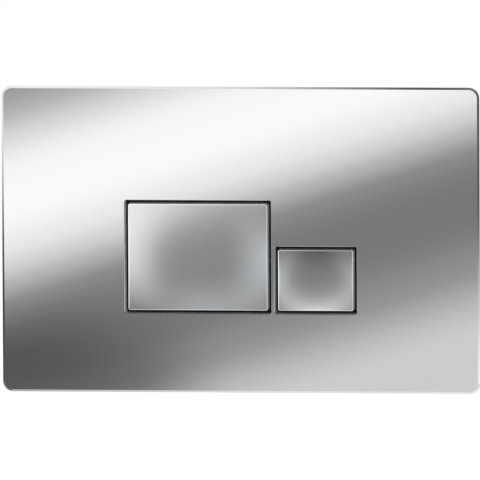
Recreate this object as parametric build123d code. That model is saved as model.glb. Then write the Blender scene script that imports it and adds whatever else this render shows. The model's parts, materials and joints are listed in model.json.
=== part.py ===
from build123d import *

import os
from dataclasses import dataclass
from math import cos, pi, sin, tau

# Dual flush actuator plate for a concealed cistern, in millimetres.
# X runs to the right, Y into the wall and Z up.
# The origin is the middle of the plate's outline, on the surface of the wall.

# Front plate
PLATE_WIDTH = 250.0
PLATE_HEIGHT = 160.0
PLATE_CORNER_RADIUS = 5.5
PLATE_WALL = 2.2
RIM_DEPTH = 4.5
RIM_WALL = 2.0
RIM_CHAMFER = 1.1
PLATE_RIB_HEIGHT = 1.6
PLATE_RIB_WALL = 1.4
PLATE_RIB_SPACING = 90.0
REST_PAD_HEIGHT = 2.8
REST_PAD_WIDTH = 6.0
REST_PAD_SPACING = 70.0

# Windows in the plate, with their bottom edges on one line
FULL_WINDOW_WIDTH = 76.8
FULL_WINDOW_HEIGHT = 59.6
HALF_WINDOW_WIDTH = 43.2
HALF_WINDOW_HEIGHT = 35.6
WINDOW_WEB = 1.6
WINDOW_DROP = 38.9
WINDOW_CORNER_RADIUS = 1.1
WINDOW_CHAMFER = 0.15
COLLAR_DEPTH = 10.5
COLLAR_WALL = 1.6

# Button caps, flush with the plate at rest
BUTTON_GAP = 2.0
BUTTON_TRAVEL = 5.0
CAP_WALL = 1.8
CAP_FACE = 2.0
CAP_CORNER_RADIUS = 0.7
CAP_CHAMFER = 0.5
CAP_RIM_LAND = 0.2
FULL_DISH_DEPTH = 1.0
HALF_DISH_DEPTH = 0.6
LEDGE_WIDTH = 12.0
LEDGE_WALL = 1.0
LEDGE_PROUD = 0.9
LEDGE_DEPTH = 2.5

# Sliders that carry the caps
SLIDER_FLANGE = 2.0
SLIDER_LAP = 2.2
SLIDER_GAP = 0.4
SLIDER_RIB_HEIGHT = 2.5
SLIDER_RIB_WALL = 1.6
PLUG_DEPTH = 3.0
PLUG_WALL = 1.5
PLUG_CLEARANCE = 0.15
CLIP_WALL = 1.4
CLIP_BARB = 0.9
CLIP_BARB_LAND = 0.4
CLIP_BARB_LENGTH = 1.5
POST_RADIUS = 3.0
POST_INSET = 6.0
POST_OVERRUN = 2.0

# Push rods, screwed into the sliders and locked by a nut
ROD_RADIUS = 3.5
ROD_TIP_RADIUS = 3.0
ROD_LENGTH = 72.0
ROD_TIP_LENGTH = 27.0
ROD_CHAMFER = 0.6
ROD_PAD = 1.5
ROD_BOSS_RADIUS = 5.0
ROD_BOSS_LENGTH = 6.0
ROD_NUT_FLATS = 11.0
ROD_NUT_HEIGHT = 4.0

# Return springs, one round each guide post
SPRING_WIRE = 1.0
SPRING_RADIUS = 4.5
SPRING_TURNS = 4
SPRING_RESERVE = 2.0
SPRING_SIDES_PER_TURN = 8
SPRING_WIRE_SIDES = 6

# Housing behind the windows
HOUSING_WALL = 2.0
HOUSING_FLOOR = 2.0
HOUSING_OVERLAP = 1.0
HOUSING_CORNER_RADIUS = 1.0
HOUSING_RIB_HEIGHT = 2.0
HOUSING_RIB_EDGE = 7.0
BUSH_WALL = 1.6
BUSH_LENGTH = 4.0
SEAT_DEPTH = 0.8
LUG_WALL = 2.0
LUG_WIDTH = 9.0
LUG_BOSS_WIDTH = 6.8
HOUSING_SCREW_RADIUS = 1.5
HOUSING_SCREW_BITE = 4.5
HOUSING_SCREW_CORNER = 2.8
HOUSING_SCREW_HEAD_HEIGHT = 2.0

# Mounting frame, flanged on the wall and sunk in the wall's opening
FRAME_FLANGE = 3.0
FRAME_LAP = 9.0
FRAME_WALL = 2.0
FRAME_DEPTH = 14.0
FRAME_SHELF = 2.5
FRAME_CORNER_RADIUS = 4.0
FRAME_RIB_HEIGHT = 4.0
FRAME_RIB_WALL = 1.6
SLOT_LENGTH = 14.0

# Snap hooks moulded on the plate, caught in slots of the frame
HOOK_SPACING = 110.0
HOOK_WIDTH = 12.0
HOOK_WALL = 2.0
HOOK_BARB = 1.5
HOOK_BARB_LAND = 0.8
HOOK_BARB_LENGTH = 4.0
HOOK_CATCH_DEPTH = 4.0

# Fixing bolts with thumb heads, and their washers
BOLT_RADIUS = 3.0
BOLT_NECK_RADIUS = 2.5
BOLT_NECK_OVERRUN = 1.0
BOLT_LENGTH = 75.0
BOLT_CHAMFER = 0.6
BOLT_HEAD_RADIUS = 10.0
BOLT_HEAD_HEIGHT = 8.0
BOLT_HEAD_SIDES = 12
BOLT_DRIVE_WIDTH = 1.6
BOLT_DRIVE_DEPTH = 2.0
WASHER_WIDTH = 16.0
WASHER_WALL = 1.0

# Clearances
THREAD_CLEARANCE = 0.1
GUIDE_CLEARANCE = 0.15
SCREW_HOLE_CLEARANCE = 0.25
CLIP_CLEARANCE = 0.2
SLIDER_CLEARANCE = 0.5
NUT_CLEARANCE = 0.8
SPRING_CLEARANCE = 0.4
RIB_CLEARANCE = 0.6
HOOK_CLEARANCE = 0.3
HOOK_ROOM = 1.0
SLOT_CLEARANCE = 0.4
WASHER_CLEARANCE = 0.2
HEAD_CLEARANCE = 0.7
BOLT_ROOM = 1.5

# Depths along Y, from the wall's surface
PLATE_BACK = -FRAME_FLANGE - REST_PAD_HEIGHT
PLATE_FRONT = PLATE_BACK - PLATE_WALL
RIM_BACK = PLATE_FRONT + RIM_DEPTH
STOP = PLATE_FRONT + COLLAR_DEPTH
FLANGE_BACK = STOP + SLIDER_FLANGE
SPRING_LENGTH = (SPRING_TURNS + 1) * SPRING_WIRE + BUTTON_TRAVEL + SPRING_RESERVE
SEAT = FLANGE_BACK + SPRING_LENGTH
FLOOR_FRONT = SEAT - SEAT_DEPTH
FLOOR_BACK = FLOOR_FRONT + HOUSING_FLOOR
HOUSING_FRONT = STOP - HOUSING_OVERLAP
LUG_BACK = HOUSING_FRONT + LUG_WALL
BOSS_BACK = FLANGE_BACK + ROD_BOSS_LENGTH
SHELF_FRONT = FRAME_DEPTH - FRAME_SHELF
HEAD_BACK = SHELF_FRONT - WASHER_WALL
HEAD_FRONT = HEAD_BACK - BOLT_HEAD_HEIGHT
NECK_BACK = FRAME_DEPTH + BOLT_NECK_OVERRUN
CATCH = HOOK_CATCH_DEPTH
HOOK_END = CATCH + HOOK_BARB_LENGTH

# Nut from its middle to a corner
ROD_NUT_CORNER = ROD_NUT_FLATS / 2 / cos(pi / 6)


@dataclass(frozen=True)
class Button:
    """One push button, given by its window in the plate."""

    name: str
    width: float
    height: float
    x: float
    dish: float
    lap_left: float
    lap_right: float

    @property
    def z(self):
        """Height of the button's middle."""
        return self.height / 2 - WINDOW_DROP

    @property
    def cap_width(self):
        """Width of the cap inside its gap."""
        return self.width - 2 * BUTTON_GAP

    @property
    def cap_height(self):
        """Height of the cap inside its gap."""
        return self.height - 2 * BUTTON_GAP

    @property
    def posts(self):
        """Places of the two guide posts."""
        reach = self.width / 2 - POST_INSET
        return [(self.x - reach, self.z), (self.x + reach, self.z)]


GROUP_WIDTH = FULL_WINDOW_WIDTH + WINDOW_WEB + HALF_WINDOW_WIDTH
WEB_LAP = (WINDOW_WEB - SLIDER_GAP) / 2
FULL = Button(
    name="full_flush",
    width=FULL_WINDOW_WIDTH,
    height=FULL_WINDOW_HEIGHT,
    x=(FULL_WINDOW_WIDTH - GROUP_WIDTH) / 2,
    dish=FULL_DISH_DEPTH,
    lap_left=SLIDER_LAP,
    lap_right=WEB_LAP,
)
HALF = Button(
    name="half_flush",
    width=HALF_WINDOW_WIDTH,
    height=HALF_WINDOW_HEIGHT,
    x=(GROUP_WIDTH - HALF_WINDOW_WIDTH) / 2,
    dish=HALF_DISH_DEPTH,
    lap_left=WEB_LAP,
    lap_right=SLIDER_LAP,
)
BUTTONS = [FULL, HALF]
ROD_Z = HALF.z

# Housing outline, round both sliders
TALLEST = max(FULL_WINDOW_HEIGHT, HALF_WINDOW_HEIGHT)
HOUSING_MARGIN = SLIDER_LAP + SLIDER_CLEARANCE
HOUSING_INNER_WIDTH = GROUP_WIDTH + 2 * HOUSING_MARGIN
HOUSING_INNER_HEIGHT = TALLEST + 2 * HOUSING_MARGIN
HOUSING_WIDTH = HOUSING_INNER_WIDTH + 2 * HOUSING_WALL
HOUSING_HEIGHT = HOUSING_INNER_HEIGHT + 2 * HOUSING_WALL
HOUSING_Z = TALLEST / 2 - WINDOW_DROP
LUG_X = HOUSING_WIDTH / 2 + HOUSING_SCREW_CORNER + HEAD_CLEARANCE
LUG_RISE = (HOUSING_HEIGHT - LUG_WIDTH) / 2
LUGS = [(side * LUG_X, HOUSING_Z + up * LUG_RISE) for side in (-1, 1) for up in (-1, 1)]

# Frame outline, round the housing, the bolts and the hooks
SHELF_X = LUG_X + LUG_WIDTH / 2 + BOLT_ROOM
BOLT_X = SHELF_X + BOLT_HEAD_RADIUS
FRAME_INNER_WIDTH = 2 * (BOLT_X + BOLT_HEAD_RADIUS + BOLT_ROOM)
HOUSING_REACH = HOUSING_HEIGHT / 2 + abs(HOUSING_Z)
FRAME_INNER_HEIGHT = 2 * (HOUSING_REACH + HOOK_ROOM + HOOK_WALL + HOOK_CLEARANCE)
FRAME_WIDTH = FRAME_INNER_WIDTH + 2 * FRAME_WALL
FRAME_HEIGHT = FRAME_INNER_HEIGHT + 2 * FRAME_WALL
HOOK_OUTSIDE = FRAME_INNER_HEIGHT / 2 - HOOK_CLEARANCE


def slab(outline, front, back):
    """Solid of an outline drawn in X and Z, from one depth to another."""
    return extrude(Plane.XZ.offset(-front) * outline, amount=front - back)


def disc(place, radius, front, back):
    """Round bar along Y at a place given in X and Z."""
    return slab(Pos(*place) * Circle(radius), front, back)


def block(place, width, height, front, back):
    """Rectangular bar along Y at a place given in X and Z."""
    return slab(Pos(*place) * Rectangle(width, height), front, back)


def rounded(place, width, height, radius, front, back):
    """Round cornered bar along Y at a place given in X and Z."""
    return slab(Pos(*place) * RectangleRounded(width, height, radius), front, back)


def front_edges(solid):
    """Edges round the outside of a solid's foremost face."""
    return solid.faces().sort_by(Axis.Y)[0].outer_wire().edges()


def back_edges(solid):
    """Edges round the outside of a solid's rearmost face."""
    return solid.faces().sort_by(Axis.Y)[-1].outer_wire().edges()


def window(button):
    """Bar that fills a button's window from the plate's face to the stop."""
    place = (button.x, button.z)
    size = (button.width, button.height, WINDOW_CORNER_RADIUS)
    return rounded(place, *size, PLATE_FRONT, STOP)


def collar(button):
    """Bar behind the plate from which a window's collar is cut."""
    width = button.width + 2 * COLLAR_WALL
    height = button.height + 2 * COLLAR_WALL
    return block((button.x, button.z), width, height, PLATE_BACK, STOP)


@dataclass(frozen=True)
class Hook:
    """Snap hook along Y, drawn from the side with its barb pointing up."""

    root: float
    catch: float
    end: float
    outside: float
    wall: float
    barb: float
    land: float
    width: float

    def solid(self, x):
        """Hook at a place along X."""
        inside = self.outside - self.wall
        crest = self.outside + self.barb
        ahead = 1 if self.end > self.root else -1
        profile = Polygon(
            (self.root, inside),
            (self.end, inside),
            (self.end, self.outside),
            (self.catch + ahead * self.land, crest),
            (self.catch, crest),
            (self.catch, self.outside),
            (self.root, self.outside),
            align=None,
        )
        return extrude(Plane.YZ.offset(x) * profile, amount=self.width / 2, both=True)


# Front plate


def rest_pads():
    """Pads on the plate's back that stand on the frame's flange."""
    side_x = (FRAME_WIDTH + FRAME_LAP) / 2
    end_z = (FRAME_HEIGHT + FRAME_LAP) / 2
    places = []
    for side in (-1, 1):
        for up in (-1, 1):
            places.append((side * side_x, up * REST_PAD_SPACING / 2))
            places.append((side * HOOK_SPACING / 2, up * end_z))
    size = (REST_PAD_WIDTH, REST_PAD_WIDTH)
    return [block(place, *size, PLATE_BACK, -FRAME_FLANGE) for place in places]


def plate_ribs():
    """Stiffening ribs across the plate's back."""
    inner_width = PLATE_WIDTH - 2 * RIM_WALL
    inner_height = PLATE_HEIGHT - 2 * RIM_WALL
    back = PLATE_BACK + PLATE_RIB_HEIGHT
    ribs = []
    for side in (-1, 1):
        upright = (side * BOLT_X, 0)
        across = (0, side * PLATE_RIB_SPACING / 2)
        ribs.append(block(upright, PLATE_RIB_WALL, inner_height, PLATE_BACK, back))
        ribs.append(block(across, inner_width, PLATE_RIB_WALL, PLATE_BACK, back))
    return ribs


def plate_hooks():
    """Four hooks that catch in the frame's slots, two above and two below."""
    hook = Hook(
        root=PLATE_BACK,
        catch=CATCH,
        end=HOOK_END,
        outside=HOOK_OUTSIDE,
        wall=HOOK_WALL,
        barb=HOOK_BARB,
        land=HOOK_BARB_LAND,
        width=HOOK_WIDTH,
    )
    upper = [hook.solid(side * HOOK_SPACING / 2) for side in (-1, 1)]
    return upper + [mirror(solid, about=Plane.XY) for solid in upper]


def front_plate():
    """Chromed cover: a shallow tray with collared windows, bosses, pads and hooks."""
    middle = (0, 0)
    shell = rounded(
        middle, PLATE_WIDTH, PLATE_HEIGHT, PLATE_CORNER_RADIUS, PLATE_FRONT, RIM_BACK
    )
    shell = chamfer(front_edges(shell), RIM_CHAMFER)
    shell -= rounded(
        middle,
        PLATE_WIDTH - 2 * RIM_WALL,
        PLATE_HEIGHT - 2 * RIM_WALL,
        PLATE_CORNER_RADIUS - RIM_WALL,
        PLATE_BACK,
        RIM_BACK,
    )
    shell += plate_ribs()
    shell += [collar(button) for button in BUTTONS]
    shell -= [window(button) for button in BUTTONS]
    face = shell.faces().sort_by(Axis.Y)[0]
    window_edges = [edge for wire in face.inner_wires() for edge in wire.edges()]
    shell = chamfer(window_edges, WINDOW_CHAMFER)
    shell += rest_pads()
    shell += plate_hooks()
    boss = (LUG_BOSS_WIDTH, LUG_BOSS_WIDTH)
    shell += [block(place, *boss, PLATE_BACK, HOUSING_FRONT) for place in LUGS]
    bore = HOUSING_SCREW_RADIUS + THREAD_CLEARANCE
    bore_front = HOUSING_FRONT - HOUSING_SCREW_BITE - THREAD_CLEARANCE
    shell -= [disc(place, bore, bore_front, HOUSING_FRONT) for place in LUGS]
    return shell


# Buttons


def dish(button):
    """Bowl taken out of a cap's face: deepest in the middle, level at its four sides."""
    inset = 2 * (CAP_CHAMFER + CAP_RIM_LAND)
    width = button.cap_width - inset
    height = button.cap_height - inset
    pull = 4 * button.dish
    rows = []
    for column in (-1, 0, 1):
        row = []
        for level in (-1, 0, 1):
            depth = pull if column == level == 0 else 0
            x = button.x + column * width / 2
            z = button.z + level * height / 2
            row.append((x, PLATE_FRONT + depth, z))
        rows.append(row)
    bowl = Face.make_bezier_surface(rows)
    lid = Face(Wire.make_polygon([rows[0][0], rows[0][2], rows[2][2], rows[2][0]]))
    return Solid(Shell([bowl, lid]))


def button_cap(button):
    """Dished cap: an open backed shell with a ledge for each clip."""
    place = (button.x, button.z)
    inner_front = PLATE_FRONT + button.dish + CAP_FACE
    inner_width = button.cap_width - 2 * CAP_WALL
    inner_height = button.cap_height - 2 * CAP_WALL
    cap = rounded(
        place, button.cap_width, button.cap_height, CAP_CORNER_RADIUS, PLATE_FRONT, STOP
    )
    cap = chamfer(front_edges(cap), CAP_CHAMFER)
    cap -= dish(button)
    cap -= block(place, inner_width, inner_height, inner_front, STOP)
    ledge_front = STOP - LEDGE_DEPTH
    for up in (-1, 1):
        spot = (button.x, button.z + up * (inner_height - LEDGE_PROUD) / 2)
        cap += block(spot, LEDGE_WIDTH, LEDGE_PROUD, ledge_front, ledge_front + LEDGE_WALL)
    return cap


def slider_plug(button):
    """Ring that locates the cap, open where the clips are."""
    place = (button.x, button.z)
    width = button.cap_width - 2 * (CAP_WALL + PLUG_CLEARANCE)
    height = button.cap_height - 2 * (CAP_WALL + PLUG_CLEARANCE)
    front = STOP - PLUG_DEPTH
    ring = block(place, width, height, front, STOP)
    ring -= block(place, width - 2 * PLUG_WALL, height - 2 * PLUG_WALL, front, STOP)
    ring -= block(place, LEDGE_WIDTH + 2 * CLIP_CLEARANCE, height, front, STOP)
    return ring


def slider_clips(button):
    """Clips that catch in front of the cap's ledges."""
    catch = STOP - LEDGE_DEPTH - CLIP_CLEARANCE
    cap_inside = button.z + button.cap_height / 2 - CAP_WALL
    clip = Hook(
        root=STOP,
        catch=catch,
        end=catch - CLIP_BARB_LENGTH,
        outside=cap_inside - LEDGE_PROUD - CLIP_CLEARANCE,
        wall=CLIP_WALL,
        barb=CLIP_BARB,
        land=CLIP_BARB_LAND,
        width=LEDGE_WIDTH - 2 * CLIP_CLEARANCE,
    )
    upper = clip.solid(button.x)
    return [upper, mirror(upper, about=Plane.XY.offset(button.z))]


def slider(button):
    """Carrier behind a cap: stop flange, plug, clips, rod boss and guide posts."""
    place = (button.x, button.z)
    rod = (button.x, ROD_Z)
    flange_place = (button.x + (button.lap_right - button.lap_left) / 2, button.z)
    flange_width = button.width + button.lap_left + button.lap_right
    flange_height = button.height + 2 * SLIDER_LAP
    body = block(flange_place, flange_width, flange_height, STOP, FLANGE_BACK)
    body += slider_plug(button)
    body += slider_clips(button)
    rib_back = FLANGE_BACK + SLIDER_RIB_HEIGHT
    spring_outside = SPRING_RADIUS + SPRING_WIRE / 2
    rib_reach = button.width - 2 * (POST_INSET + spring_outside + RIB_CLEARANCE)
    body += block(place, rib_reach, SLIDER_RIB_WALL, FLANGE_BACK, rib_back)
    body += block(place, SLIDER_RIB_WALL, button.height, FLANGE_BACK, rib_back)
    body += block(rod, 2 * ROD_BOSS_RADIUS, 2 * ROD_BOSS_RADIUS, STOP - ROD_PAD, STOP)
    body += disc(rod, ROD_BOSS_RADIUS, FLANGE_BACK, BOSS_BACK)
    post_back = FLOOR_BACK + BUSH_LENGTH + POST_OVERRUN
    body += [disc(post, POST_RADIUS, FLANGE_BACK, post_back) for post in button.posts]
    body -= disc(rod, ROD_RADIUS + THREAD_CLEARANCE, STOP, BOSS_BACK)
    return body


def push_rod(button):
    """Rod that reaches the flush valve: a thread towards the slider, a plain tip behind."""
    place = (button.x, ROD_Z)
    tip_back = STOP + ROD_LENGTH
    thread_back = tip_back - ROD_TIP_LENGTH
    tip = disc(place, ROD_TIP_RADIUS, thread_back, tip_back)
    tip = chamfer(back_edges(tip), ROD_CHAMFER)
    return tip + disc(place, ROD_RADIUS, STOP, thread_back)


def rod_nut(button):
    """Hexagon nut that locks the rod against the slider's boss."""
    place = Pos(button.x, ROD_Z)
    hexagon = place * RegularPolygon(ROD_NUT_CORNER, 6)
    bore = place * Circle(ROD_RADIUS + THREAD_CLEARANCE)
    return slab(hexagon - bore, BOSS_BACK, BOSS_BACK + ROD_NUT_HEIGHT)


# Springs


def spring():
    """Compression spring along Y with ground ends, faceted along its wire."""
    count = SPRING_TURNS * SPRING_SIDES_PER_TURN
    rise = SPRING_LENGTH / count
    points = []
    for step in range(count + 1):
        turn = tau * step / SPRING_SIDES_PER_TURN
        points.append((SPRING_RADIUS * cos(turn), step * rise, SPRING_RADIUS * sin(turn)))
    path = Polyline(*points)
    section = Plane(origin=path @ 0, z_dir=path % 0)
    section *= RegularPolygon(SPRING_WIRE / 2, SPRING_WIRE_SIDES)
    coil = sweep(section, path=path, transition=Transition.RIGHT)
    width = 2 * (SPRING_RADIUS + SPRING_WIRE)
    return coil & block((0, 0), width, width, 0, SPRING_LENGTH)


# Housing


def housing_shell():
    """Open fronted box behind the windows, with a lug at each corner."""
    place = (0, HOUSING_Z)
    outer_radius = HOUSING_CORNER_RADIUS + HOUSING_WALL
    box = rounded(
        place, HOUSING_WIDTH, HOUSING_HEIGHT, outer_radius, HOUSING_FRONT, FLOOR_BACK
    )
    for x, z in LUGS:
        lug_reach = abs(x) + LUG_WIDTH / 2
        lug_middle = (lug_reach / 2 if x > 0 else -lug_reach / 2, z)
        box += block(lug_middle, lug_reach, LUG_WIDTH, HOUSING_FRONT, LUG_BACK)
    box -= rounded(
        place,
        HOUSING_INNER_WIDTH,
        HOUSING_INNER_HEIGHT,
        HOUSING_CORNER_RADIUS,
        HOUSING_FRONT,
        FLOOR_FRONT,
    )
    hole = HOUSING_SCREW_RADIUS + SCREW_HOLE_CLEARANCE
    return box - [disc(lug, hole, HOUSING_FRONT, LUG_BACK) for lug in LUGS]


def housing():
    """Housing with back ribs, guide bushes, spring seats and holes for the rods."""
    box = housing_shell()
    rib_rise = HOUSING_INNER_HEIGHT / 2 - HOUSING_RIB_EDGE
    rib_back = FLOOR_BACK + HOUSING_RIB_HEIGHT
    for up in (-1, 1):
        spot = (0, HOUSING_Z + up * rib_rise)
        box += block(spot, HOUSING_INNER_WIDTH, HOUSING_WALL, FLOOR_BACK, rib_back)
    seat_width = 2 * (SPRING_RADIUS + SPRING_WIRE / 2 + SPRING_CLEARANCE)
    guide = POST_RADIUS + GUIDE_CLEARANCE
    bush_width = 2 * (guide + BUSH_WALL)
    bush_back = FLOOR_BACK + BUSH_LENGTH
    for button in BUTTONS:
        for post in button.posts:
            box += block(post, bush_width, bush_width, FLOOR_BACK, bush_back)
            box -= block(post, seat_width, seat_width, FLOOR_FRONT, SEAT)
            box -= disc(post, guide, SEAT, bush_back)
        rod = (button.x, ROD_Z)
        box -= disc(rod, ROD_NUT_CORNER + NUT_CLEARANCE, FLOOR_FRONT, FLOOR_BACK)
    return box


def housing_screw(place):
    """Hexagon head screw from a lug of the housing into a boss of the plate."""
    tip = HOUSING_FRONT - HOUSING_SCREW_BITE
    head_back = LUG_BACK + HOUSING_SCREW_HEAD_HEIGHT
    hexagon = Pos(*place) * RegularPolygon(HOUSING_SCREW_CORNER, 6)
    head = slab(hexagon, LUG_BACK, head_back)
    return head + disc(place, HOUSING_SCREW_RADIUS, tip, LUG_BACK)


# Mounting frame and its bolts


def frame_shell():
    """Flange on the wall, and walls sunk in it that end in two bolt shelves."""
    middle = (0, 0)
    outer_radius = FRAME_CORNER_RADIUS + FRAME_WALL
    shell = rounded(
        middle,
        FRAME_WIDTH + 2 * FRAME_LAP,
        FRAME_HEIGHT + 2 * FRAME_LAP,
        outer_radius,
        -FRAME_FLANGE,
        0,
    )
    shell += rounded(middle, FRAME_WIDTH, FRAME_HEIGHT, outer_radius, 0, FRAME_DEPTH)
    shell -= rounded(
        middle,
        FRAME_INNER_WIDTH,
        FRAME_INNER_HEIGHT,
        FRAME_CORNER_RADIUS,
        -FRAME_FLANGE,
        SHELF_FRONT,
    )
    return shell - block(middle, 2 * SHELF_X, FRAME_INNER_HEIGHT, SHELF_FRONT, FRAME_DEPTH)


def mounting_frame():
    """Frame with ribbed shelves, slots for the bolts and slots for the plate's hooks."""
    frame = frame_shell()
    shelf_width = FRAME_INNER_WIDTH / 2 - SHELF_X
    slot_width = 2 * (BOLT_RADIUS + SLOT_CLEARANCE)
    rib_front = SHELF_FRONT - FRAME_RIB_HEIGHT
    rib_rise = BOLT_HEAD_RADIUS + BOLT_ROOM + FRAME_RIB_WALL / 2
    catch_width = HOOK_WIDTH + 2 * HOOK_CLEARANCE
    catch_front = CATCH - HOOK_CLEARANCE
    catch_back = HOOK_END + HOOK_CLEARANCE
    for side in (-1, 1):
        shelf_x = side * (SHELF_X + shelf_width / 2)
        for up in (-1, 1):
            spot = (shelf_x, up * rib_rise)
            frame += block(spot, shelf_width, FRAME_RIB_WALL, rib_front, SHELF_FRONT)
        slot = Pos(side * BOLT_X, 0) * SlotOverall(SLOT_LENGTH, slot_width, rotation=90)
        frame -= slab(slot, SHELF_FRONT, FRAME_DEPTH)
        spot = (side * HOOK_SPACING / 2, 0)
        frame -= block(spot, catch_width, FRAME_HEIGHT, catch_front, catch_back)
    return frame


def fixing_bolt(side):
    """Long bolt with a faceted thumb head, a thin neck and a thread behind it."""
    place = (side * BOLT_X, 0)
    knob = Pos(*place) * RegularPolygon(BOLT_HEAD_RADIUS, BOLT_HEAD_SIDES)
    head = slab(knob, HEAD_FRONT, HEAD_BACK)
    head = chamfer(front_edges(head) + back_edges(head), BOLT_CHAMFER)
    drive_back = HEAD_FRONT + BOLT_DRIVE_DEPTH
    head -= block(place, 2 * BOLT_HEAD_RADIUS, BOLT_DRIVE_WIDTH, HEAD_FRONT, drive_back)
    neck = disc(place, BOLT_NECK_RADIUS, HEAD_BACK, NECK_BACK)
    thread = disc(place, BOLT_RADIUS, NECK_BACK, HEAD_BACK + BOLT_LENGTH)
    thread = chamfer(back_edges(thread), BOLT_CHAMFER)
    return head + neck + thread


def washer(side):
    """Square washer between a bolt's head and its shelf."""
    place = (side * BOLT_X, 0)
    hole = disc(place, BOLT_RADIUS + WASHER_CLEARANCE, HEAD_BACK, SHELF_FRONT)
    return block(place, WASHER_WIDTH, WASHER_WIDTH, HEAD_BACK, SHELF_FRONT) - hole


# Sub-parts, one file each
pieces = {
    "front_plate": front_plate(),
    "button_housing": housing(),
    "housing_screws": Compound([housing_screw(lug).solid() for lug in LUGS]),
    "mounting_frame": mounting_frame(),
}
for label, side in (("left", -1), ("right", 1)):
    pieces[f"fixing_bolt_{label}"] = fixing_bolt(side)
    pieces[f"fixing_washer_{label}"] = washer(side)
coil = spring()
for button in BUTTONS:
    pieces[f"{button.name}_cap"] = button_cap(button)
    pieces[f"{button.name}_slider"] = slider(button)
    pieces[f"{button.name}_rod"] = push_rod(button)
    pieces[f"{button.name}_rod_nut"] = rod_nut(button)
    for label, (x, z) in zip(("left", "right"), button.posts):
        pieces[f"{button.name}_spring_{label}"] = Pos(x, FLANGE_BACK, z) * coil

os.makedirs("parts", exist_ok=True)
for name, piece in pieces.items():
    export_step(piece, f"parts/{name}.step")
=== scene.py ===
"""Looks of a dual flush actuator plate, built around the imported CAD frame."""

import functools
import json
import logging
import math
from dataclasses import dataclass
from enum import Enum
from typing import Callable, Sequence

import bpy
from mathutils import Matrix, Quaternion, Vector


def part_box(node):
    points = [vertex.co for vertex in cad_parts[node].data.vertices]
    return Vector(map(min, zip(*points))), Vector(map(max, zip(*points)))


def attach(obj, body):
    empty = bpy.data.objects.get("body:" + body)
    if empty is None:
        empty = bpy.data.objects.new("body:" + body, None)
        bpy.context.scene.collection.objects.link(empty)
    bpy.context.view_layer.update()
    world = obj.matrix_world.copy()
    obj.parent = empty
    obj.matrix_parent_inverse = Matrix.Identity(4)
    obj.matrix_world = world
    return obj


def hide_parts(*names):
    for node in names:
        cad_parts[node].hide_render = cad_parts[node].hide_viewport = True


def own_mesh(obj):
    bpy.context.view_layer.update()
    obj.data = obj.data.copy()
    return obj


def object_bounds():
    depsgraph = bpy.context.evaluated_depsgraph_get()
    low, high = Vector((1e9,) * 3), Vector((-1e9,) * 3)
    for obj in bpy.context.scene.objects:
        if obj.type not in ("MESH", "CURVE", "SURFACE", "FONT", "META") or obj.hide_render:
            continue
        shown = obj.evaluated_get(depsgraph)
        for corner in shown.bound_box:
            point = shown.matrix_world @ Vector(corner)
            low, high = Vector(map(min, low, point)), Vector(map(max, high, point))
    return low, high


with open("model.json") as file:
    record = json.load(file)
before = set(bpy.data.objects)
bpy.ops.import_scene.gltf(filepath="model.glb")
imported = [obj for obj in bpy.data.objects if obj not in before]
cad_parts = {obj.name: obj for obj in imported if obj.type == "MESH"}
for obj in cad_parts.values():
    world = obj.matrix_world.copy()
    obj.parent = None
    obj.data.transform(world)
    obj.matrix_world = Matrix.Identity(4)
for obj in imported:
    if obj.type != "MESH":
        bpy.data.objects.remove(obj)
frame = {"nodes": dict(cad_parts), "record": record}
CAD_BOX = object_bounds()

Point = tuple[float, float, float]
Pair = tuple[float, float]
Piece = bpy.types.Object
Socket = bpy.types.NodeSocket
Test = Callable[[Vector], bool]

LOG = logging.getLogger("flush_plate")
MM = 0.001
TINY = 1e-6  # Places closer than this are the same.
CHROME = 0.92  # Share of light that bright chrome mirrors.
FIXED = "fixed_plate"
SIDES = ("left", "right")
ACROSS_Y = (math.pi / 2, 0.0, 0.0)  # Turn that stands a plane across Y.
HALF_FLAT = math.pi / 6  # Half the angle that a flat of a hexagon takes.
SHARP = math.radians(40.0)  # Edges past this angle are eased.


class Button(Enum):
    """The two push buttons, by the first part of their nodes' names."""

    FULL = "full_flush"
    HALF = "half_flush"

    def node(self, piece: str) -> str:
        """Name of one of the button's CAD nodes."""
        return f"{self.value}_{piece}"

    @property
    def body(self) -> str:
        """Name of the body that moves with the button."""
        return f"{self.value}_button"

    @property
    def joint(self) -> str:
        """Name of the joint that the button is pressed along."""
        return f"{self.value}_press"


class Slot(Enum):
    """Material slots of the record."""

    POLISHED = "chrome_plating"
    SATIN = "satin_chrome"
    BLACK = "black_plastic"
    DARK = "dark_plastic"
    LIGHT = "light_plastic"
    ROD = "rod_plastic"
    BOLT = "bolt_plastic"
    STEEL = "steel"


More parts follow.
